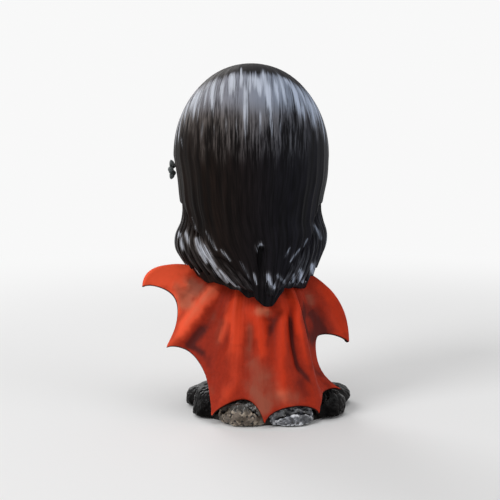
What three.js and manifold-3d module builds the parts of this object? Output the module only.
// A painted tabletop miniature: a small caped figure with a large head and long hair, on a ring of cobbles.
// Millimetres, +Z up. The figure faces -Y and its left hand is towards +X. The origin is the middle of the
// base's underside. Angles round the figure are in degrees, from its back (+Y) towards its left (+X).
// A table whose name ends in Shares holds shares of the sizes that its first comment names.
import * as THREE from "three";
import { mergeVertices } from "three/addons/utils/BufferGeometryUtils.js";
import Module from "manifold-3d";

const wasm = await Module();
wasm.setup();

// Fits between the pieces
const glueGap = 0.3; // left between pieces that are glued together
const cutOverrun = 1; // how far a cutting shape runs past what it cuts
const weldDistance = 0.0001; // points closer than this are one
const pinRadius = 0.5;
const pinClearance = 0.15;

// Ground
const baseRadius = 11.4;
const baseThickness = 1.2;
const baseBevel = 0.35;
const slabRadius = 5.2;
const slabThickness = 2.2;
const slabEdgeDrop = 0.5;
const cobbleWidth = 8.6; // before its neighbours trim it
const cobbleHeight = 3.1;
const cobbleOverhang = 1.9; // past the edge of the base
const cobbleTuck = 0.2; // how far a cobble's round end runs into the slab's room before it is trimmed
const cobbleFoot = 0.25; // how far the cobbles' overhang stays off the ground

// Legs and boots
const stance = 2.4; // from the middle to each foot
const bootHalfWidth = 1.9;
const toeLength = 3.2;
const heelLength = 1.8;
const bootHeight = 4.6;
const legRadius = 1.25;
const legInset = 0.9; // how deep a leg stands in its boot
const legShow = 0.9; // bare leg between boot and skirt

// Skirt, belt and bodice
const skirtHalfWidth = 6.4;
const skirtHalfDepth = 5.4;
const skirtLength = 4.9;
const legSocket = 1.6; // how deep a leg stands in the skirt
const pleatDepth = 0.45;
const waistHalfWidth = 3.5;
const waistHalfDepth = 2.9;
const torsoLength = 7.6;
const chestHalfWidth = 5.3;
const chestHalfDepth = 3.4;
const neckShift = 1.1; // how far the body leans to its left at the neck
const beltHeight = 1.5;
const beltThickness = 0.7;
const buckleWidth = 2.6;
const buckleBar = 0.45;
const buckleThickness = 0.5;

// Arms and hands
const armRadius = 1.6;
const cuffRadius = 1.75;
const armLength = 8;
const palmLength = 2.2;
const palmWidth = 2.2;
const palmThickness = 1.3;
const fingerRadius = 0.25;
const fingerLength = 1.7;
const wristRadius = 0.8;
const wristInset = 0.8; // how deep a wrist stands in its cuff
const shoulderPinLength = 2.6;

// Neck and head
const neckLength = 3.3; // from the shoulders to the chin
const neckRadius = 1.7;
const neckInset = 1.6; // how deep the neck stands in the bodice
const neckRise = 3.2; // how far the neck runs up into the head
const headShift = 2.3; // how far the head sits to the figure's left
const headHeight = 25.9;
const headHalfWidth = 10;
const headFront = 9.5;
const headBack = 9.7;
const noseReach = 1;
const socketDepth = 0.45;
const lipReach = 0.3;

// Hair
const hairThickness = 2.1;
const hairCrown = 3.5; // over the top of the head
const hairWall = 2; // where the hair hangs free below the head
const lockDepth = 0.4;
const hemPoint = 0.7; // how far each lock's point hangs below its sides
const layerStep = 0.75; // how far the lower layer lies under the upper one
const lockHalfWidth = 1;
const lockProud = 0.22; // out of the hair's outline
const lockRootSink = 0.5; // how much deeper a lock's root lies
const slotHalfWidth = 0.42; // of the dark slot above the hair's point
const slotDepth = 1.05;
const archRadius = 0.34; // of the lock that arches over the slot
const hairFall = 3.4; // below the shoulders, down to the hair's point
const hairSeam = 3; // from the middle of the head forwards to where the two castings meet
const sideLockRadius = 1.15;
const hairPegRadius = 1;
const hairPegLength = 3.6;
const clipPetalRadius = 0.62;
const clipRadius = 0.95;
const clipThickness = 0.75;

// Cape
const capeThickness = 0.8;
const collarRise = 1.2; // collar above the shoulders
const collarHalfWidth = 3.5;
const collarHalfDepth = 3.3;
const capeLeft = 19.2; // from the middle to the tip of the left wing
const capeRight = 12.6;
const hemOverhang = 1.9; // past the edge of the base
const membraneSag = 0.75;
const capePegRadius = 0.75;
const tieRadius = 0.4;
const claspRadius = 1.25;
const claspThickness = 0.7;

// Heights, from the ground up
const footing = baseThickness + slabThickness;
const bootTop = footing + bootHeight;
const skirtHem = bootTop + legShow;
const waist = skirtHem + skirtLength;
const shoulderTop = waist + torsoLength;
const chin = shoulderTop + neckLength;
const headTop = chin + headHeight;
const hairTop = headTop + hairCrown;
const hairTip = shoulderTop - hairFall;
const hairDrop = hairTop - hairTip;
const collarHeight = shoulderTop + collarRise;

// Colours and finishes
function finish(color, roughness, metalness = 0) {
  return new THREE.MeshStandardMaterial({ color, roughness, metalness });
}
const finishes = {
  ground: finish(0x1b1917, 0.45),
  stone: finish(0x55534c, 0.5),
  wetStone: finish(0x15130f, 0.25),
  leather: finish(0x1c1a1c, 0.45),
  stocking: finish(0x4a3f4a, 0.6),
  dress: finish(0x23202a, 0.6),
  belt: finish(0x5a3a22, 0.5),
  metal: finish(0x9a9ca0, 0.35, 0.8),
  skin: finish(0xe2b79a, 0.5),
  hair: finish(0x17161a, 0.4),
  petal: finish(0xb9bcc2, 0.4),
  cape: finish(0xa8281a, 0.55),
  pin: finish(0xb08d4f, 0.35, 0.9),
};

// A direction on the ground plan, and the point that lies along it
function direction(degrees) {
  const turn = THREE.MathUtils.degToRad(degrees);
  return new THREE.Vector2(Math.sin(turn), Math.cos(turn));
}

// A table of rows [key, value, value...] read at any key, along a smooth curve.
function readTable(rows, key) {
  let i = 1;
  while (i < rows.length - 1 && rows[i][0] < key) i++;
  const [before, after] = [rows[i - 1], rows[i]];
  const width = after[0] - before[0];
  const t = THREE.MathUtils.clamp((key - before[0]) / width, 0, 1);
  const slope = (j, column) => {
    const [low, high] = [rows[Math.max(j - 1, 0)], rows[Math.min(j + 1, rows.length - 1)]];
    return (high[column] - low[column]) / (high[0] - low[0]);
  };
  return before.slice(1).map((value, n) => {
    const start = value;
    const end = after[n + 1];
    const rise = slope(i - 1, n + 1) * width;
    const fall = slope(i, n + 1) * width;
    const square = t * t;
    const cube = square * t;
    return (
      (2 * cube - 3 * square + 1) * start +
      (cube - 2 * square + t) * rise +
      (3 * square - 2 * cube) * end +
      (cube - square) * fall
    );
  });
}

// A solid from points and triangles, turned to face outwards.
function solidFrom(points, triangles) {
  const normal = new THREE.Vector3();
  const volume = triangles.reduce(
    (sum, [a, b, c]) => sum + points[a].dot(normal.crossVectors(points[b], points[c])),
    0,
  );
  const facingOut = volume > 0 ? triangles : triangles.map(([a, b, c]) => [a, c, b]);
  return new wasm.Manifold(
    new wasm.Mesh({
      numProp: 3,
      vertProperties: new Float32Array(points.flatMap((p) => p.toArray())),
      triVerts: new Uint32Array(facingOut.flat()),
    }),
  );
}

// A solid from a closed three.js geometry.
function solidOf(geometry) {
  const plain = geometry.clone();
  plain.deleteAttribute("normal");
  plain.deleteAttribute("uv");
  const merged = mergeVertices(plain, weldDistance);
  const position = merged.attributes.position;
  const points = [];
  for (let i = 0; i < position.count; i++) points.push(new THREE.Vector3().fromBufferAttribute(position, i));
  const triangles = [];
  for (let i = 0; i < merged.index.count; i += 3) {
    const triangle = [merged.index.getX(i), merged.index.getX(i + 1), merged.index.getX(i + 2)];
    if (new Set(triangle).size === 3) triangles.push(triangle);
  }
  return solidFrom(points, triangles);
}

// A three.js geometry from a solid.
function geometryOf(solid) {
  const mesh = solid.getMesh();
  const positions = new Float32Array(mesh.numVert * 3);
  for (let i = 0; i < mesh.numVert; i++) {
    positions.set(mesh.vertProperties.subarray(i * mesh.numProp, i * mesh.numProp + 3), i * 3);
  }
  const geometry = new THREE.BufferGeometry();
  geometry.setAttribute("position", new THREE.BufferAttribute(positions, 3));
  geometry.setIndex(new THREE.BufferAttribute(mesh.triVerts, 1));
  geometry.computeVertexNormals();
  return geometry;
}

// A closed skin over rings of points, with a fan across each end.
function skin(rings) {
  const around = rings[0].length;
  const points = rings.flat();
  const triangles = [];
  for (let r = 0; r < rings.length - 1; r++) {
    for (let k = 0; k < around; k++) {
      const a = r * around + k;
      const b = r * around + ((k + 1) % around);
      triangles.push([a, b, b + around], [a, b + around, a + around]);
    }
  }
  for (const r of [0, rings.length - 1]) {
    const middle = rings[r].reduce((sum, p) => sum.add(p), new THREE.Vector3()).divideScalar(around);
    const centre = points.push(middle) - 1;
    for (let k = 0; k < around; k++) {
      const a = r * around + k;
      const b = r * around + ((k + 1) % around);
      triangles.push(r ? [a, b, centre] : [b, a, centre]);
    }
  }
  return solidFrom(points, triangles);
}

// A closed sheet between two grids of points that have the same rows and columns.
function sheet(front, back) {
  const rows = front.length;
  const columns = front[0].length;
  const layer = rows * columns;
  const points = [...front.flat(), ...back.flat()];
  const triangles = [];
  for (let r = 0; r < rows - 1; r++) {
    for (let c = 0; c < columns - 1; c++) {
      const a = r * columns + c;
      const [b, d, e] = [a + 1, a + columns, a + columns + 1];
      triangles.push([a, b, e], [a, e, d]);
      triangles.push([layer + a, layer + e, layer + b], [layer + a, layer + d, layer + e]);
    }
  }
  const border = [];
  for (let c = 0; c < columns - 1; c++) border.push(c);
  for (let r = 0; r < rows - 1; r++) border.push(r * columns + columns - 1);
  for (let c = columns - 1; c > 0; c--) border.push((rows - 1) * columns + c);
  for (let r = rows - 1; r > 0; r--) border.push(r * columns);
  border.forEach((p, i) => {
    const q = border[(i + 1) % border.length];
    triangles.push([q, p, layer + p], [q, layer + p, layer + q]);
  });
  return solidFrom(points, triangles);
}

// A level oval ring round (x, y), with its own reach to the front and to the back.
function ovalRing(x, z, halfWidth, front, back, around, ripple = () => 0) {
  const middle = (back - front) / 2;
  const halfDepth = (back + front) / 2;
  return Array.from({ length: around }, (_, k) => {
    const side = direction((360 * k) / around);
    const stretch = 1 + ripple((360 * k) / around);
    return new THREE.Vector3(x + side.x * halfWidth * stretch, middle + side.y * halfDepth * stretch, z);
  });
}

// A rounded limb through some points, with a radius at each, flattened across its width if asked.
function limb(stations, radii, sides, steps, flatness = 1) {
  const curve = new THREE.CatmullRomCurve3(stations);
  const radiusRows = radii.map((radius, i) => [i / (radii.length - 1), radius]);
  const rings = [];
  for (let i = 0; i <= steps; i++) {
    const t = i / steps;
    const tangent = curve.getTangent(t);
    const across = new THREE.Vector3(0, 1, 0).cross(tangent).normalize();
    const thick = new THREE.Vector3().crossVectors(tangent, across);
    const [radius] = readTable(radiusRows, t);
    rings.push(
      Array.from({ length: sides }, (_, k) => {
        const turn = (2 * Math.PI * k) / sides;
        return curve
          .getPoint(t)
          .addScaledVector(across, radius * Math.cos(turn))
          .addScaledVector(thick, radius * flatness * Math.sin(turn));
      }),
    );
  }
  return skin(rings);
}

// A round bar from one point to another.
function bar(from, to, radius, sides = 12) {
  const length = from.distanceTo(to);
  const geometry = new THREE.CylinderGeometry(radius, radius, length, sides);
  const along = new THREE.Vector3().subVectors(to, from).normalize();
  const turn = new THREE.Quaternion().setFromUnitVectors(new THREE.Vector3(0, 1, 0), along);
  const middle = new THREE.Vector3().addVectors(from, to).divideScalar(2);
  return solidOf(geometry.applyQuaternion(turn).translate(...middle.toArray()));
}

// A ball stretched to three half sizes.
function ball(centre, halfSizes, segments = 10) {
  const geometry = new THREE.SphereGeometry(1, segments, segments - 2);
  return solidOf(geometry.scale(...halfSizes).translate(...centre.toArray()));
}

// Base disc
function baseDisc() {
  const profile = [
    [0, 0],
    [baseRadius, 0],
    [baseRadius, baseThickness - baseBevel],
    [baseRadius - baseBevel, baseThickness],
    [0, baseThickness],
  ].map(([r, z]) => new THREE.Vector2(r, z));
  return solidOf(new THREE.LatheGeometry(profile, 48).rotateX(Math.PI / 2));
}

// The slab that the figure stands on: a low stone with a broken edge.
const slabPinHoleRadius = pinRadius + pinClearance;
function slabOutline(degrees) {
  const turn = THREE.MathUtils.degToRad(degrees);
  return 0.04 * Math.sin(3 * turn + 1) + 0.03 * Math.sin(5 * turn) - 0.07;
}
function standingSlab() {
  const ring = (z, radius) => ovalRing(0, z, radius, radius, radius, 28, slabOutline);
  const slab = skin([
    ring(baseThickness, slabRadius),
    ring(footing - slabEdgeDrop, slabRadius),
    ring(footing, slabRadius - slabEdgeDrop),
  ]);
  return [1, -1].reduce((solid, side) => solid.subtract(legPin(side, pinClearance)), slab);
}

// Cobbles: one rounded stone in each wedge of the ring, trimmed by its neighbours' crevices
const cobbleLength = baseRadius + cobbleOverhang - slabRadius + cobbleTuck;
const creviceDegrees = [0, 38, 78, 119, 160, 200, 241, 282, 322, 360];
const cobbleHeightShares = [1.2, 1, 0.72, 0.42, 0.38, 0.42, 0.7, 0.98, 1.1];
const cobbleReachShares = [1, 0.99, 0.98, 0.98, 0.97, 0.99, 1.03, 1.04, 1.01]; // of the way to the outer edge

function lumps(point, seed) {
  const { x, y, z } = point;
  return (
    0.05 * Math.sin(2.7 * x + 1.9 * y + seed) +
    0.045 * Math.sin(3.1 * y - 2.3 * z + 2 * seed) +
    0.035 * Math.sin(4.7 * z + 3.3 * x + 3 * seed)
  );
}

function cobble(index) {
  const [from, to] = [creviceDegrees[index], creviceDegrees[index + 1]];
  const middle = direction((from + to) / 2);
  const ringRadius = (baseRadius + cobbleOverhang) * cobbleReachShares[index] - cobbleLength / 2;
  const height = cobbleHeight * cobbleHeightShares[index];
  const geometry = new THREE.IcosahedronGeometry(1, 3);
  const position = geometry.attributes.position;
  const point = new THREE.Vector3();
  for (let i = 0; i < position.count; i++) {
    point.fromBufferAttribute(position, i);
    point.multiplyScalar(1 + lumps(point, index));
    position.setXYZ(i, point.x, point.y, point.z);
  }
  geometry.scale(cobbleWidth / 2, cobbleLength / 2, height);
  geometry.rotateZ(-THREE.MathUtils.degToRad((from + to) / 2));
  geometry.translate(middle.x * ringRadius, middle.y * ringRadius, baseThickness);
  const stone = solidOf(geometry).intersect(wedge(from, to));
  return stone.subtract(discSpace()).subtract(slabSpace()).subtract(cape(glueGap));
}

// The room for one cobble, from just off the ground up, half a glue gap inside each crevice.
function wedge(from, to) {
  const half = THREE.MathUtils.degToRad((to - from) / 2);
  const apex = direction((from + to) / 2).multiplyScalar(glueGap / 2 / Math.sin(half));
  const far = 2 * (baseRadius + cobbleOverhang);
  const corners = [apex, direction(to).multiplyScalar(far).add(apex), direction(from).multiplyScalar(far).add(apex)];
  const settings = { depth: 3 * cobbleHeight, bevelEnabled: false };
  return solidOf(new THREE.ExtrudeGeometry(new THREE.Shape(corners), settings).translate(0, 0, cobbleFoot));
}

// The disc's own room: the cobbles rest on its top and hang over its edge.
function discSpace() {
  const low = new THREE.Vector3(0, 0, -cutOverrun);
  const high = new THREE.Vector3(0, 0, baseThickness);
  return bar(low, high, baseRadius + glueGap, 48);
}

function slabSpace() {
  const low = new THREE.Vector3(0, 0, baseThickness - cutOverrun);
  const high = new THREE.Vector3(0, 0, baseThickness + 2 * cobbleHeight);
  return bar(low, high, slabRadius + glueGap, 36);
}

// Boots: [height, half width, toe, heel], as shares of the boot's own sizes
const bootShares = [
  [0, 0.86, 0.93, 0.92],
  [0.1, 1, 1, 1],
  [0.26, 0.98, 0.95, 0.98],
  [0.42, 0.86, 0.72, 0.94],
  [0.56, 0.78, 0.52, 0.88],
  [0.74, 0.8, 0.5, 0.86],
  [0.86, 0.98, 0.56, 0.98],
  [1, 0.94, 0.54, 0.95],
];
const toeOutDegrees = 12;

function boot(side) {
  const rings = [];
  const steps = 10;
  for (let i = 0; i <= steps; i++) {
    const [width, toe, heel] = readTable(bootShares, i / steps);
    const ring = ovalRing(0, bootHeight * (i / steps), bootHalfWidth * width, toeLength * toe, heelLength * heel, 16);
    const turnOut = THREE.MathUtils.degToRad(toeOutDegrees * side);
    rings.push(ring.map((p) => p.applyAxisAngle(new THREE.Vector3(0, 0, 1), turnOut).add(footPlace(side))));
  }
  return skin(rings).subtract(leg(side, glueGap)).subtract(legPin(side, pinClearance));
}

function footPlace(side) {
  return new THREE.Vector3(side * stance, 0, footing);
}

// Legs, which stand in sockets in the boots and in the skirt
const legTop = skirtHem + legSocket;

function leg(side, grow = 0) {
  const low = new THREE.Vector3(side * stance, 0, bootTop - legInset);
  const high = new THREE.Vector3(side * stance, 0, legTop);
  const post = bar(low, high, legRadius + grow, 16);
  return grow ? post : post.subtract(legPin(side, pinClearance));
}

// The wire pin that holds a leg: from the base's top, through slab, boot and leg, into the skirt.
function legPin(side, grow = 0) {
  const low = new THREE.Vector3(side * stance, 0, grow ? baseThickness - cutOverrun : baseThickness);
  const high = new THREE.Vector3(side * stance, 0, (legTop + waist) / 2 + grow);
  return bar(low, high, pinRadius + grow);
}

// Skirt: pleats that die away towards the waist
const pleatCount = 12;
const flareShares = [
  [0, 1],
  [0.2, 0.86],
  [0.5, 0.55],
  [0.8, 0.18],
  [1, 0],
];

function skirtRing(share, grow) {
  const [flare] = readTable(flareShares, share);
  const halfWidth = waistHalfWidth + (skirtHalfWidth - waistHalfWidth) * flare + grow;
  const halfDepth = waistHalfDepth + (skirtHalfDepth - waistHalfDepth) * flare + grow;
  const pleat = (pleatDepth / skirtHalfWidth) * flare;
  const ripple = (degrees) => pleat * Math.cos(pleatCount * THREE.MathUtils.degToRad(degrees));
  const z = skirtHem + share * skirtLength;
  return ovalRing(0, z, halfWidth, halfDepth, halfDepth, 4 * pleatCount, ripple);
}

function skirtOutside(grow = 0) {
  return skin([0, 0.15, 0.35, 0.55, 0.8, 1].map((share) => skirtRing(share, grow)));
}

function skirt() {
  return [1, -1].reduce(
    (solid, side) => solid.subtract(leg(side, glueGap)).subtract(legPin(side, pinClearance)),
    skirtOutside(),
  );
}

// Bodice: [height, how far from waist to chest, front, back]
const torsoShares = [
  [0, 0, 0, 0],
  [0.15, 0.08, 0.1, 0.05],
  [0.4, 0.5, 0.75, 0.4],
  [0.58, 0.85, 1.3, 0.7],
  [0.74, 1, 1, 1],
  [0.88, 0.9, 0.5, 0.8],
  [0.96, 0.35, 0, 0.2],
  [1, -0.4, -0.8, -0.6],
];

function torsoPlace(share) {
  return neckShift * share;
}

function torsoOutside(grow = 0) {
  const rings = [];
  const steps = 10;
  for (let i = 0; i <= steps; i++) {
    const share = i / steps;
    const [wide, front, back] = readTable(torsoShares, share);
    const halfWidth = waistHalfWidth + (chestHalfWidth - waistHalfWidth) * wide + grow;
    const reach = (along) => waistHalfDepth + (chestHalfDepth - waistHalfDepth) * along + grow;
    const lift = i === steps ? grow : 0;
    rings.push(ovalRing(torsoPlace(share), waist + torsoLength * share + lift, halfWidth, reach(front), reach(back), 24));
  }
  return skin(rings);
}

function torso() {
  return torsoOutside()
    .subtract(neck(glueGap))
    .subtract(shoulderPin(1, pinClearance))
    .subtract(shoulderPin(-1, pinClearance))
    .subtract(capePeg(pinClearance))
    .subtract(cape(glueGap));
}

// Belt and buckle
function belt() {
  const middle = waist;
  const reach = glueGap + beltThickness;
  const band = [middle - beltHeight / 2, middle + beltHeight / 2].map((z) =>
    ovalRing(0, z, waistHalfWidth + reach, waistHalfDepth + reach, waistHalfDepth + reach, 32),
  );
  return skin(band).subtract(skirtOutside(glueGap)).subtract(torsoOutside(glueGap));
}

function buckle() {
  const [halfWidth, halfHeight] = [buckleWidth / 2, (beltHeight + 2 * buckleBar) / 2];
  const rectangle = (inset) => [
    new THREE.Vector2(-halfWidth + inset, -halfHeight + inset),
    new THREE.Vector2(halfWidth - inset, -halfHeight + inset),
    new THREE.Vector2(halfWidth - inset, halfHeight - inset),
    new THREE.Vector2(-halfWidth + inset, halfHeight - inset),
  ];
  const frame = new THREE.Shape(rectangle(0));
  frame.holes.push(new THREE.Path(rectangle(buckleBar).reverse()));
  const geometry = new THREE.ExtrudeGeometry(frame, { depth: buckleThickness, bevelEnabled: false });
  const front = waistHalfDepth + 2 * glueGap + beltThickness;
  return solidOf(geometry.rotateX(Math.PI / 2).translate(0, -front, waist));
}

// Arms: each runs through a shoulder, an elbow and a wrist, as shares [x, y, z] of the arm's length
const armShares = {
  1: [
    [-0.12, 0, 0],
    [0, 0, 0],
    [0.5, 0.03, 0.02],
    [1, 0.1, 0.12],
  ],
  "-1": [
    [0.12, 0, 0.02],
    [0, 0, 0],
    [-0.3, 0.04, -0.5],
    [-0.4, -0.25, -0.9],
  ],
};

function shoulderPlace(side) {
  const inset = armRadius * 0.5;
  return new THREE.Vector3(torsoPlace(0.8) + side * (chestHalfWidth - inset), 0, shoulderTop - armRadius - glueGap);
}

function armStations(side) {
  return armShares[side].map((shares) =>
    new THREE.Vector3(...shares).multiplyScalar(armLength).add(shoulderPlace(side)),
  );
}

function wristPlace(side) {
  return armStations(side)[3];
}

function handDirection(side) {
  const [, , elbow, wrist] = armStations(side);
  return new THREE.Vector3().subVectors(wrist, elbow).normalize();
}

function armOutside(side, grow = 0) {
  const radii = [armRadius, armRadius, armRadius, cuffRadius].map((radius) => radius + grow);
  return limb(armStations(side), radii, 12, 10);
}

function arm(side) {
  return armOutside(side)
    .subtract(torsoOutside(glueGap))
    .subtract(wrist(side, glueGap))
    .subtract(shoulderPin(side, pinClearance))
    .subtract(cape(glueGap));
}

function shoulderPin(side, grow = 0) {
  const middle = shoulderPlace(side);
  const half = shoulderPinLength / 2 + grow;
  const from = middle.clone().add(new THREE.Vector3(-half, 0, 0));
  const to = middle.clone().add(new THREE.Vector3(half, 0, 0));
  return bar(from, to, pinRadius + grow);
}

function wrist(side, grow = 0) {
  const along = handDirection(side);
  const from = wristPlace(side).addScaledVector(along, -wristInset);
  const to = wristPlace(side).addScaledVector(along, wristInset + grow);
  return bar(from, to, wristRadius + grow);
}

// Hands: a palm, a thumb and four fingers that curl round the cape's edge, [start, curl] as shares of the palm
const fingerRowShares = [-0.375, -0.125, 0.125, 0.375];

function hand(side) {
  const along = handDirection(side);
  const across = new THREE.Vector3(0, 1, 0).cross(along).normalize();
  const out = new THREE.Vector3().crossVectors(along, across);
  const place = (a, b, c) =>
    wristPlace(side)
      .addScaledVector(along, glueGap + a)
      .addScaledVector(across, b)
      .addScaledVector(out, c);
  const palmEnd = palmLength;
  const palm = limb(
    [place(0, 0, 0), place(palmEnd / 3, 0, 0), place(palmEnd * 0.75, 0, 0), place(palmEnd, 0, 0)],
    [wristRadius, palmWidth / 2, palmWidth / 2, palmWidth / 3],
    10,
    4,
    palmThickness / palmWidth,
  );
  const fingers = fingerRowShares.map((share) => {
    const b = palmWidth * share;
    return limb(
      [
        place(palmEnd * 0.8, b, 0),
        place(palmEnd + fingerLength * 0.35, b, palmThickness * 0.12),
        place(palmEnd + fingerLength * 0.5, b, -palmThickness * 0.45),
        place(palmEnd + fingerLength * 0.2, b, -palmThickness * 0.95),
      ],
      [fingerRadius, fingerRadius, fingerRadius, fingerRadius * 0.6],
      6,
      4,
    );
  });
  const thumb = limb(
    [
      place(palmEnd * 0.2, -palmWidth * 0.3, 0),
      place(palmEnd * 0.45, -palmWidth * 0.6, -palmThickness * 0.2),
      place(palmEnd * 0.85, -palmWidth * 0.68, -palmThickness * 0.5),
    ],
    [1.3 * fingerRadius, 1.2 * fingerRadius, 0.8 * fingerRadius],
    6,
    4,
  );
  const joined = [palm, thumb, ...fingers].reduce((solid, piece) => solid.add(piece));
  return joined.add(wrist(side)).subtract(cape(glueGap));
}

// Neck: a short post in sockets in the bodice and the head
function neck(grow = 0) {
  const x = neckShift;
  const low = new THREE.Vector3(x, 0, shoulderTop - neckInset);
  const high = new THREE.Vector3(x, 0, chin + neckRise);
  return bar(low, high, neckRadius + grow, 16);
}

// Head: [height, half width, front, back], as shares of the head's own sizes
const headShares = [
  [0, 0.22, 0.74, -0.28],
  [0.03, 0.38, 0.84, -0.08],
  [0.08, 0.54, 0.9, 0.16],
  [0.16, 0.72, 0.94, 0.45],
  [0.26, 0.87, 0.96, 0.7],
  [0.38, 0.97, 0.97, 0.9],
  [0.5, 1, 0.98, 0.99],
  [0.64, 0.98, 0.97, 1],
  [0.78, 0.87, 0.88, 0.91],
  [0.89, 0.67, 0.69, 0.71],
  [0.96, 0.42, 0.44, 0.45],
  [1, 0.12, 0.14, 0.14],
];
const plainRingShares = [0, 0.03, 0.08, 0.16, 0.26, 0.38, 0.5, 0.62, 0.73, 0.82, 0.89, 0.94, 0.975, 1];
const faceRingShares = [
  0, 0.015, 0.04, 0.08, 0.12, 0.15, 0.17, 0.19, 0.215, 0.24, 0.265, 0.29, 0.315, 0.35, 0.4, 0.46, 0.52, 0.58, 0.66,
  0.74, 0.82, 0.88, 0.93, 0.965, 0.99, 1,
];
const faceRows = { eyes: 0.46, nose: 0.28, mouth: 0.17 }; // shares of the head's height
const eyeSpacing = 0.4; // of the head's half width
const frontCrowding = 26; // degrees by which the points round the head gather on the face

// How far the face stands out of the plain oval at one place.
function feature(across, up) {
  const bump = (x, z, width, height) => Math.exp(-(((across - x) / width) ** 2) - ((up - z) / height) ** 2);
  const eyes = bump(eyeSpacing, faceRows.eyes, 0.2, 0.06) + bump(-eyeSpacing, faceRows.eyes, 0.2, 0.06);
  const nose = bump(0, faceRows.nose, 0.08, 0.03) + 0.35 * bump(0, faceRows.nose + 0.06, 0.06, 0.06);
  const lips = bump(0, faceRows.mouth, 0.16, 0.018);
  return noseReach * nose + lipReach * lips - socketDepth * eyes;
}

function headRing(share, grow, around) {
  const [width, front, back] = readTable(headShares, share);
  const middle = (headBack * back - headFront * front) / 2;
  const halfDepth = (headBack * back + headFront * front) / 2;
  return Array.from({ length: around }, (_, k) => {
    const even = (360 * k) / around;
    const crowding = grow ? 0 : frontCrowding;
    const side = direction(even + crowding * Math.sin(THREE.MathUtils.degToRad(even)));
    const facing = grow ? 0 : Math.max(0, -side.y);
    const out = feature((side.x * width) / 1, share) * facing;
    const x = headShift + side.x * (headHalfWidth * width + grow);
    return new THREE.Vector3(x, middle + side.y * (halfDepth + grow + out), chin + headHeight * share);
  });
}

function headOutside(grow = 0) {
  const shares = grow ? plainRingShares : faceRingShares;
  const rings = shares.map((share) => headRing(share, grow, grow ? 24 : 32));
  if (grow) rings[rings.length - 1].forEach((p) => p.setZ(p.z + grow));
  return skin(rings);
}

function head() {
  return headOutside().subtract(neck(glueGap)).subtract(hairPeg(pinClearance));
}

// The peg that locates the hair on the crown of the head
function hairPeg(grow = 0) {
  const low = new THREE.Vector3(headShift, 0, headTop - hairPegLength / 2 - grow);
  const high = new THREE.Vector3(headShift, 0, headTop + hairPegLength / 2 + grow);
  return bar(low, high, hairPegRadius + grow);
}

// Hair: a dome over the head, and below it a fall whose half sizes follow a table of
// [drop below the widest level, left, right, back, front], as shares of the widest level's half sizes
const hairWidest = chin + 0.59 * headHeight;
const hairHalfWidth = headHalfWidth + hairThickness;
const hairBack = headBack + hairThickness + lockDepth;
const hairFront = headFront + hairThickness;
const hairFallShares = [
  [0, 1, 1, 1, 1],
  [0.15, 0.955, 0.985, 0.985, 0.985],
  [0.31, 0.925, 0.93, 0.96, 0.96],
  [0.44, 0.885, 0.905, 0.93, 0.94],
  [0.52, 0.925, 0.955, 0.93, 0.935],
  [0.58, 0.975, 0.965, 0.93, 0.935],
  [0.66, 0.97, 0.945, 0.935, 0.93],
  [0.74, 0.905, 0.9, 0.93, 0.92],
  [0.83, 0.82, 0.86, 0.9, 0.88],
  [0.93, 0.74, 0.8, 0.86, 0.84],
  [1, 0.7, 0.76, 0.83, 0.8],
];
// The hem, as [degrees, height above the lowest point as a share of the whole drop]
const hemShares = [
  [-180, 0.66],
  [-158, 0.65],
  [-138, 0.61],
  [-129, 0.5],
  [-121, 0.25],
  [-112, 0.17],
  [-92, 0.13],
  [-68, 0.085],
  [-53, 0.08],
  [-35, 0.075],
  [-28, 0.06],
  [-19, 0],
  [-8, 0.027],
  [6, 0.054],
  [18, 0.075],
  [34, 0.094],
  [58, 0.115],
  [80, 0.15],
  [112, 0.18],
  [121, 0.25],
  [129, 0.5],
  [138, 0.61],
  [158, 0.65],
  [180, 0.66],
];
const lockCount = 14;
const domeStepShare = 0.4; // of the rows from the crown to the hem
const poleShare = 0.3; // of a row, round the crown

// The point of the hair's outside at one bearing and height, moved out by some distance.
function hairPoint(degrees, z, out = 0) {
  const side = direction(degrees);
  const above = Math.max(0, z - hairWidest) / (hairTop - hairWidest);
  const below = Math.max(0, hairWidest - z) / (hairWidest - hairTip);
  const dome = Math.sqrt(Math.max(0, 1 - above ** 2));
  const [left, right, back, front] = readTable(hairFallShares, below);
  const halfWidth = hairHalfWidth * (side.x > 0 ? left : right) * dome;
  const halfDepth = (side.y > 0 ? hairBack * back : hairFront * front) * dome;
  return new THREE.Vector3(headShift + side.x * (halfWidth + out), side.y * (halfDepth + out), z);
}

function lockWave(degrees) {
  return Math.abs(Math.cos(THREE.MathUtils.degToRad((degrees * lockCount) / 2)));
}

// One column of the hair's outside, from the crown to the hem.
function hairColumn(degrees, steps, grow) {
  const [hemShare] = readTable(hemShares, degrees);
  const hem = hairTip + hairDrop * hemShare - hemPoint * lockWave(degrees) - grow;
  const domeSteps = Math.round(steps * domeStepShare);
  const foot = Math.max(hem, hairWidest);
  const footAngle = Math.acos((foot - hairWidest) / (hairTop - hairWidest));
  const points = [];
  for (let i = 0; i <= steps; i++) {
    const onDome = Math.min(1, (i + poleShare) / (domeSteps + poleShare));
    const below = Math.max(0, i - domeSteps) / (steps - domeSteps);
    const z = hairWidest + (hairTop - hairWidest) * Math.cos(footAngle * onDome) + (hem - foot) * below;
    const ridge = lockDepth * (lockWave(degrees) - 0.5) * onDome;
    points.push(hairPoint(degrees, z, (ridge + grow) * Math.min(1, 3 * onDome)));
  }
  return points;
}

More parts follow.
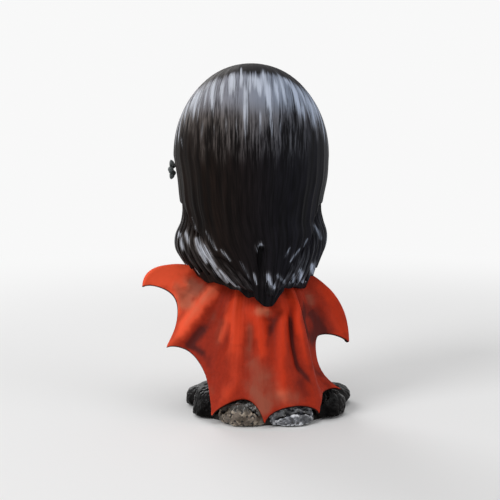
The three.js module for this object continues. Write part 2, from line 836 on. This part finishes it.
// The whole mass of back hair as one solid, closed across the hem by a lip and a floor.
function hairMass(grow = 0) {
  const around = 4 * lockCount;
  const steps = 14;
  const columns = Array.from({ length: around }, (_, k) => hairColumn(-180 + (360 * k) / around, steps, grow));
  const rings = [];
  for (let i = 0; i <= steps; i++) rings.push(columns.map((column) => column[i]));
  const lip = columns.map((column) => {
    const rim = column[steps];
    const inwards = new THREE.Vector2(headShift - rim.x, -rim.y).setLength(hairWall);
    return new THREE.Vector3(rim.x + inwards.x, rim.y + inwards.y, rim.z);
  });
  return skin([...rings, lip]);
}

// The hollow inside the lower hair, for the neck, the shoulders and the cape.
function hairHollow() {
  const top = chin + 0.3 * headHeight;
  const levels = [hairTip - 2 * hemPoint - cutOverrun, hairTip, (hairTip * 2 + top) / 3, (hairTip + 2 * top) / 3, top];
  const rings = levels.map((z, i) =>
    Array.from({ length: 28 }, (_, k) => {
      const squeeze = i === levels.length - 1 ? headHalfWidth / 2 : 0;
      return hairPoint((360 * k) / 28, z, -hairWall - squeeze);
    }),
  );
  return skin(rings);
}

// The lower layer of hair. The mass steps in below the upper layer's hem, which is
// [degrees, height above the lowest point as a share of the whole drop]
const upperHemShares = [
  [-180, -0.09],
  [-140, -0.09],
  [-128, 0.342],
  [-118, 0.423],
  [-85, 0.41],
  [-66, 0.383],
  [-58, 0.302],
  [-48, 0.235],
  [-40, 0.181],
  [-33, 0.116],
  [-28, 0.032],
  [-22, -0.09],
  [-9, -0.09],
  [-3, 0.051],
  [5, 0.111],
  [18, 0.17],
  [30, 0.224],
  [39, 0.267],
  [54, 0.31],
  [64, 0.361],
  [80, 0.396],
  [118, 0.423],
  [128, 0.342],
  [140, -0.09],
  [180, -0.09],
];
const layerFootShare = -0.2; // where the cut ends, under the hair's point

// A closed outline for each of some columns, joined all the way round.
function band(columns) {
  const outline = columns[0].length;
  const triangles = columns.flatMap((column, c) =>
    column.flatMap((_, p) => {
      const [here, next] = [c * outline, ((c + 1) % columns.length) * outline];
      const q = (p + 1) % outline;
      return [
        [here + p, next + q, here + q],
        [here + p, next + p, next + q],
      ];
    }),
  );
  return solidFrom(columns.flat(), triangles);
}

function lowerLayerCut() {
  const around = 4 * lockCount;
  const rows = 4;
  const columns = Array.from({ length: around }, (_, k) => {
    const degrees = -180 + (360 * k) / around;
    const [topShare] = readTable(upperHemShares, degrees);
    const place = (share, out) => hairPoint(degrees, hairTip + hairDrop * share, out);
    const inside = Array.from({ length: rows + 1 }, (_, i) =>
      place(topShare + ((layerFootShare - topShare) * i) / rows, -layerStep),
    );
    return [place(topShare, lockDepth + cutOverrun), ...inside, place(layerFootShare, lockDepth + cutOverrun)];
  });
  return band(columns);
}

// The locks of the lower layer: [half width share, then degrees and height share of its root, middle and tip]
const lowerLockShares = [
  [0.86, 110, 0.42, 107, 0.27, 109, 0.14],
  [0.9, 99, 0.42, 96, 0.27, 97, 0.12],
  [0.92, 90, 0.42, 85, 0.26, 84, 0.11],
  [0.86, 81, 0.4, 74, 0.27, 72, 0.11],
  [0.8, 73, 0.38, 65, 0.25, 63, 0.1],
  [0.78, 66, 0.36, 56, 0.23, 51, 0.09],
  [0.78, 58, 0.33, 46, 0.21, 41, 0.08],
  [0.8, 50, 0.3, 39, 0.2, 32, 0.07],
  [0.76, 43, 0.28, 30, 0.17, 22, 0.06],
  [0.7, 34, 0.24, 21, 0.14, 13, 0.05],
  [0.62, 25, 0.2, 12, 0.12, 4, 0.04],
  [0.5, 14, 0.16, 4, 0.09, -3, 0.02],
  [0.55, -24, 0.13, -22, 0.07, -21.5, 0.01],
  [0.52, -14, 0.13, -15.5, 0.06, -18, 0.01],
  [0.55, -36, 0.2, -31, 0.12, -25, 0.03],
  [0.6, -41, 0.23, -37, 0.14, -32, 0.06],
  [0.62, -46, 0.26, -42, 0.16, -37.5, 0.06],
  [0.6, -50, 0.27, -47, 0.16, -45, 0.06],
  [0.64, -56, 0.31, -53, 0.19, -52, 0.07],
  [0.66, -62, 0.34, -59, 0.21, -60, 0.08],
  [0.7, -68, 0.39, -66, 0.24, -69, 0.09],
  [0.86, -75, 0.41, -76, 0.28, -78, 0.12],
  [0.9, -84, 0.42, -87, 0.27, -88, 0.11],
  [0.9, -94, 0.42, -97, 0.27, -98, 0.12],
  [0.86, -105, 0.42, -108, 0.28, -110, 0.14],
];
const lockSwellShares = [
  [0, 0.3],
  [0.17, 0.72],
  [0.33, 0.98],
  [0.5, 1],
  [0.67, 0.84],
  [0.83, 0.52],
  [1, 0.1],
];
const lockRootShare = 0.3; // of a lock's length
const lockSides = 5;
const lockSteps = 5;

function lock([widthShare, ...places], grow) {
  const pathShares = [0, 1, 2].map((i) => [i / 2, places[2 * i], places[2 * i + 1]]);
  const stations = [];
  const radii = [];
  for (let i = 0; i <= lockSteps; i++) {
    const share = i / lockSteps;
    const [degrees, heightShare] = readTable(pathShares, share);
    const radius = lockHalfWidth * widthShare * readTable(lockSwellShares, share)[0];
    const sink = lockRootSink * Math.max(0, 1 - share / lockRootShare);
    stations.push(hairPoint(degrees, hairTip + hairDrop * heightShare, lockProud - radius - sink));
    radii.push(radius + grow);
  }
  return limb(stations, radii, lockSides, lockSteps);
}

// The fringe: locks side by side from over the brow to the ears, as shares of the same kinds
const fringeLockCount = 19;
const fringeHalfSpread = 53; // degrees
const fringeWidthShare = 0.9;
const fringeRootShares = [0.7, 0.92];
const fringeMiddleShares = [0.97, 0.78];
const fringeTipShares = [1.02, -0.02];

function fringeLock(k, grow) {
  const offset = fringeHalfSpread * ((2 * k) / (fringeLockCount - 1) - 1);
  const [hemShare] = readTable(hemShares, offset < 0 ? 180 + offset : offset - 180);
  const [rootTurn, rootHeight] = fringeRootShares;
  const [middleTurn, middleHeight] = fringeMiddleShares;
  const [tipTurn, tipDrop] = fringeTipShares;
  return lock(
    [
      fringeWidthShare,
      180 + offset * rootTurn,
      rootHeight,
      180 + offset * middleTurn,
      middleHeight,
      180 + offset * tipTurn,
      hemShare + tipDrop,
    ],
    grow,
  );
}

function hairLocks(grow = 0) {
  const lower = lowerLockShares.map((shares) => lock(shares, grow));
  const fringe = Array.from({ length: fringeLockCount }, (_, k) => fringeLock(k, grow));
  return [...lower, ...fringe].reduce((solid, piece) => solid.add(piece));
}

// The slot above the hair's point and the small lock that arches over it, as [degrees, height share]
const slotShares = [
  [-6.8, 0.237],
  [-6.8, 0.202],
  [-7.2, 0.143],
  [-8.4, 0.057],
];
const archShares = [
  [-3.4, 0.191],
  [-3.6, 0.235],
  [-5.4, 0.26],
  [-8.2, 0.248],
  [-9.3, 0.213],
];

function alongHair(shares, radius, out, sides, flatness) {
  const stations = shares.map(([degrees, heightShare]) => hairPoint(degrees, hairTip + hairDrop * heightShare, out));
  return limb(stations, shares.map(() => radius), sides, 2 * shares.length, flatness);
}

// The whole outside of the hair: the mass, its lower layer, its locks and the slot.
function layeredHair() {
  const slot = alongHair(slotShares, slotHalfWidth, 0, 8, slotDepth / slotHalfWidth);
  const arch = alongHair(archShares, archRadius, 0, 6, 1);
  return hairMass().subtract(lowerLayerCut()).add(hairLocks()).add(arch).subtract(slot);
}

// The least detail that the hair keeps: smaller steps that the cuts left are smoothed away.
const hairTolerance = 0.02;

// The hair comes in two castings that meet in an upright plane in front of the ears.
function hairCasting(inFront) {
  const far = 2 * hairDrop;
  const room = new THREE.BoxGeometry(far, far, far).translate(0, (inFront ? -far / 2 : far / 2) - hairSeam, hairWidest);
  return layeredHair()
    .intersect(solidOf(room))
    .subtract(hairHollow())
    .subtract(headOutside(glueGap))
    .subtract(hairPeg(pinClearance))
    .subtract(cape(glueGap))
    .subtract(armOutside(1, glueGap))
    .subtract(armOutside(-1, glueGap))
    .asOriginal()
    .simplify(hairTolerance);
}

// Side locks: long strands that frame the face, [bearing from the front, height share of the hair, radius share]
const sideLockShares = [
  [50, 0.6, 0.5],
  [51, 0.52, 1],
  [51, 0.4, 1.1],
  [50, 0.28, 1.05],
  [46, 0.17, 0.95],
  [43, 0.09, 0.6],
  [42, 0.05, 0.22],
];

function sideLock(side) {
  const stations = sideLockShares.map(([bearing, heightShare]) => {
    const z = hairTip + hairDrop * heightShare;
    return hairPoint(180 - side * bearing, z, -sideLockRadius);
  });
  const radii = sideLockShares.map(([, , radiusShare]) => sideLockRadius * radiusShare);
  return limb(stations, radii, 10, 14)
    .subtract(headOutside(glueGap))
    .subtract(hairMass(glueGap))
    .subtract(hairLocks(glueGap))
    .subtract(armOutside(side, glueGap))
    .subtract(cape(glueGap));
}

// Hair clip: a five-petalled rosette on the left side of the head
const clipBearing = 97;
const clipHeightShare = 0.55; // of the hair's drop
const petalCount = 5;

function hairClip() {
  const z = hairTip + hairDrop * clipHeightShare;
  const seat = hairPoint(clipBearing, z, glueGap + lockDepth / 2);
  const out = new THREE.Vector3(direction(clipBearing).x, direction(clipBearing).y, 0);
  const along = new THREE.Vector3(-out.y, out.x, 0);
  const petal = (k) => {
    const turn = (2 * Math.PI * k) / petalCount;
    const centre = seat
      .clone()
      .addScaledVector(out, clipThickness / 2)
      .addScaledVector(along, clipRadius * Math.cos(turn))
      .add(new THREE.Vector3(0, 0, clipRadius * Math.sin(turn)));
    return ball(centre, [clipThickness / 2, clipPetalRadius, clipPetalRadius], 7);
  };
  const middle = ball(seat.clone().addScaledVector(out, clipThickness * 0.6), [
    clipThickness * 0.6,
    clipPetalRadius,
    clipPetalRadius,
  ], 8);
  const petals = Array.from({ length: petalCount }, (_, k) => petal(k));
  return petals.reduce((solid, piece) => solid.add(piece), middle);
}

// Cape: seven ribs fan out from the collar, over the shoulders and down to a tip, with a scalloped skin between.
// Each point of a rib is [x, y, z]: x as a share of the reach on that side, y of the way from the collar to the
// hem at the back, and z of the way from the cobbles' tops up to the collar, or down to the ground if under 0.
// Between this rib and the next, arch holds how far the hem is drawn up, as a share of their length, then its lean
// (under 1 is towards this rib) and its sharpness at this rib and at the next (over 0.5 is a narrower arch). folds
// holds the depths of one broad valley and of two narrow ones, as shares of the sag.
const capeBack = baseRadius + hemOverhang;
const ribShares = [
  {
    bearing: 112,
    over: [0.47, -0.303, 0.922],
    down: [0.987, -0.064, 1.17],
    tip: [1.002, 0.029, 0.845],
    arch: [0.269, 1.312, 1.291, 0.978],
    folds: [0.7, 0],
  },
  {
    bearing: 60,
    over: [0.38, 0.056, 1],
    down: [0.55, 0.149, 0.555],
    tip: [0.806, 0.122, 0.322],
    arch: [0.2, 0.85, 0.75, 0.75],
    folds: [1, 0.35],
  },
  {
    bearing: 32,
    over: [0.27, 0.322, 1],
    down: [0.25, 0.601, 0.197],
    tip: [0.432, 0.734, -0.83],
    arch: [0.145, 1, 0.55, 0.55],
    folds: [0.8, 0.25],
  },
  {
    bearing: 2,
    over: [0.06, 0.468, 1],
    down: [0.04, 0.654, 0.284],
    tip: [0.018, 1, -0.95],
    arch: [0.085, 1, 0.5, 0.5],
    folds: [0.4, 0.8],
  },
  {
    bearing: -32,
    over: [-0.4, 0.335, 1],
    down: [-0.46, 0.628, 0.259],
    tip: [-0.63, 0.747, -0.72],
    arch: [0.1, 1, 0.5, 0.5],
    folds: [0.9, 0],
  },
  {
    bearing: -62,
    over: [-0.731, 0.4, 0.7],
    down: [-0.197, 0.44, 0.219],
    tip: [-0.943, 0.123, -0.209],
    arch: [0.349, 0.578, 1.929, 2.153],
    folds: [0.6, 0],
  },
  {
    bearing: -112,
    over: [-0.44, -0.33, 1.012],
    down: [-1.116, -0.25, 0.779],
    tip: [-1.006, -0.17, 0.346],
    arch: [0, 1, 1, 1],
    folds: [0, 0],
  },
];
const ribSamples = 8; // columns from one rib to the next
const capeRows = 11;
const hemClearance = 3; // times as much room past the hem as beside the skin

function capePlace([x, y, z]) {
  const cobbleTop = baseThickness + cobbleHeight;
  return new THREE.Vector3(
    x * (x > 0 ? capeLeft : capeRight),
    collarHalfDepth + y * (capeBack - collarHalfDepth),
    cobbleTop + z * (z > 0 ? collarHeight - cobbleTop : cobbleTop),
  );
}

function collarPoint(bearing) {
  const side = direction(bearing);
  return new THREE.Vector3(neckShift + side.x * collarHalfWidth, side.y * collarHalfDepth, collarHeight);
}

function ribCurve({ bearing, over, down, tip }) {
  return new THREE.CubicBezierCurve3(collarPoint(bearing), capePlace(over), capePlace(down), capePlace(tip));
}
const ribs = ribShares.map(ribCurve);

// The middle of the cape's cloth, u ribs along from the left wing's edge and v of the way to the hem.
function capePoint(u, v) {
  const panel = Math.min(Math.floor(u), ribs.length - 2);
  const between = u - panel;
  const [scallop, lean, sharpHere, sharpNext] = ribShares[panel].arch;
  const leaning = between ** lean;
  const arch = (4 * leaning * (1 - leaning)) ** THREE.MathUtils.lerp(sharpHere, sharpNext, between);
  const along = v * (1 - scallop * arch);
  const at = (i) => ribs[THREE.MathUtils.clamp(i, 0, ribs.length - 1)].getPoint(along);
  const axis = (name) => {
    const rows = [-1, 0, 1, 2].map((step) => [step, at(panel + step)[name]]);
    return readTable(rows, between)[0];
  };
  return new THREE.Vector3(axis("x"), axis("y"), axis("z"));
}

function capeNormal(u, v) {
  const small = 0.02;
  const last = ribs.length - 1;
  const [left, right] = [Math.max(u - small, 0), Math.min(u + small, last)];
  const [high, low] = [Math.max(v - small, 0), Math.min(v + small, 1)];
  const across = capePoint(right, v).sub(capePoint(left, v));
  const down = capePoint(u, low).sub(capePoint(u, high));
  return down.cross(across).normalize();
}

// The folds press the skin in between two ribs, most of all half way down.
function foldDepth(u, v) {
  const panel = Math.min(Math.floor(u), ribs.length - 2);
  const between = u - panel;
  const [broad, narrow] = ribShares[panel].folds;
  const wave = (count) => (1 - Math.cos(2 * Math.PI * count * between)) / 2;
  const fade = Math.sin(Math.PI * Math.min(1, 0.15 + 0.7 * v));
  return membraneSag * fade * (broad * wave(1) + narrow * wave(2));
}

// The cape's skin. A grown one also runs on past the hem.
function cape(grow = 0) {
  const columns = ribSamples * (ribs.length - 1);
  const shares = Array.from({ length: capeRows + 1 }, (_, r) => r / capeRows);
  if (grow) shares.push(1 + (hemClearance * grow) / collarHeight);
  const side = (offset) =>
    shares.map((v) =>
      Array.from({ length: columns + 1 }, (_, c) => {
        const u = c / ribSamples;
        return capePoint(u, v).addScaledVector(capeNormal(u, Math.min(v, 1)), offset - foldDepth(u, v));
      }),
    );
  const half = capeThickness / 2 + grow;
  return sheet(side(half), side(-half));
}

// The peg between the bodice and the cape
const pegShare = 0.58; // of the way from the waist to the shoulders
function capePeg(grow = 0) {
  const z = waist + torsoLength * pegShare;
  const x = torsoPlace(pegShare);
  const from = new THREE.Vector3(x, chestHalfDepth / 2, z);
  const to = new THREE.Vector3(x, capeBack * 0.7, z);
  return grow ? bar(from.clone().setY(from.y - grow), to, capePegRadius + grow) : bar(from, to, capePegRadius);
}

function capePegPiece() {
  const behind = cape(glueGap);
  const [inside] = capePeg().subtract(behind).decompose().sort((a, b) => a.boundingBox().min[1] - b.boundingBox().min[1]);
  return inside;
}

// The tie across the throat that holds the cape's two collar ends, and its round clasp
function tieStations() {
  const away = capeThickness / 2 + glueGap + tieRadius;
  const front = chestHalfDepth + glueGap + tieRadius;
  return [
    collarPoint(ribShares[0].bearing).add(new THREE.Vector3(0, -away, 0)),
    new THREE.Vector3(neckShift + collarHalfWidth * 0.55, -front * 0.93, shoulderTop - tieRadius),
    new THREE.Vector3(neckShift, -front, shoulderTop - 2 * tieRadius),
    new THREE.Vector3(neckShift - collarHalfWidth * 0.55, -front * 0.93, shoulderTop - tieRadius),
    collarPoint(-ribShares[0].bearing).add(new THREE.Vector3(0, -away, 0)),
  ];
}

function capeTie() {
  return limb(tieStations(), [tieRadius, tieRadius, tieRadius, tieRadius, tieRadius], 8, 16)
    .subtract(torsoOutside(glueGap))
    .subtract(cape(glueGap));
}

function capeClasp() {
  const middle = tieStations()[2];
  const from = middle.clone().add(new THREE.Vector3(0, -tieRadius - glueGap, 0));
  const to = from.clone().add(new THREE.Vector3(0, -claspThickness, 0));
  return bar(from, to, claspRadius, 20);
}

// The assembled figure
const figure = new THREE.Group();

function addPiece(name, solid, material) {
  const mesh = new THREE.Mesh(geometryOf(solid), material);
  mesh.name = name;
  figure.add(mesh);
}

addPiece("base_disc", baseDisc(), finishes.ground);
addPiece("standing_slab", standingSlab(), finishes.stone);
for (let i = 0; i < cobbleHeightShares.length; i++) {
  addPiece(`cobble_${i + 1}`, cobble(i), i === 0 || i === 8 ? finishes.stone : finishes.wetStone);
}
for (const [side, word] of [
  [1, "left"],
  [-1, "right"],
]) {
  addPiece(`boot_${word}`, boot(side), finishes.leather);
  addPiece(`leg_${word}`, leg(side), finishes.stocking);
  addPiece(`leg_pin_${word}`, legPin(side), finishes.pin);
  addPiece(`arm_${word}`, arm(side), finishes.dress);
  addPiece(`shoulder_pin_${word}`, shoulderPin(side), finishes.pin);
  addPiece(`hand_${word}`, hand(side), finishes.skin);
  addPiece(`side_lock_${word}`, sideLock(side), finishes.hair);
}
addPiece("skirt", skirt(), finishes.dress);
addPiece("bodice", torso(), finishes.dress);
addPiece("belt", belt(), finishes.belt);
addPiece("belt_buckle", buckle(), finishes.metal);
addPiece("neck", neck(), finishes.skin);
addPiece("head", head(), finishes.skin);
addPiece("hair_peg", hairPeg(), finishes.pin);
addPiece("hair_back", hairCasting(false), finishes.hair);
addPiece("hair_front", hairCasting(true), finishes.hair);
addPiece("hair_clip", hairClip(), finishes.petal);
addPiece("cape", cape(), finishes.cape);
addPiece("cape_peg", capePegPiece(), finishes.pin);
addPiece("cape_tie", capeTie(), finishes.belt);
addPiece("cape_clasp", capeClasp(), finishes.metal);

export default figure;
